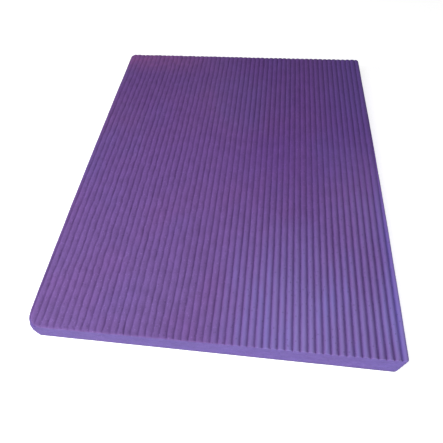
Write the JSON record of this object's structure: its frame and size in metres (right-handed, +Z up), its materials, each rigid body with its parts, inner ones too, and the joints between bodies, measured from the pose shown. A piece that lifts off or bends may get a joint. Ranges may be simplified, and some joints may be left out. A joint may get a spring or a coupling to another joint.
{
  "type": "balance pad",
  "caption": "Low rectangular foam balance pad with a lengthwise ribbed top, built up from bonded closed-cell foam sheets, for standing balance exercises.",
  "frame": {"origin": "middle of the flat underside, on the surface the pad lies on", "axes": "+Z up out of the ribbed top, +Y along the ribs and the long edges, +X across the ribs"},
  "size_m": [0.406, 0.5019, 0.04],
  "materials": {
    "ribbed_foam": "matte",
    "core_foam": "matte",
    "base_foam": "matte",
    "adhesive": "satin"
  },
  "bodies": {
    "root": {"ribbed_top_sheet": "ribbed_foam", "upper_core_sheet": "core_foam", "lower_core_sheet": "core_foam", "base_sheet": "base_foam", "upper_bond_film": "adhesive", "middle_bond_film": "adhesive", "lower_bond_film": "adhesive"}
  },
  "joints": []
}
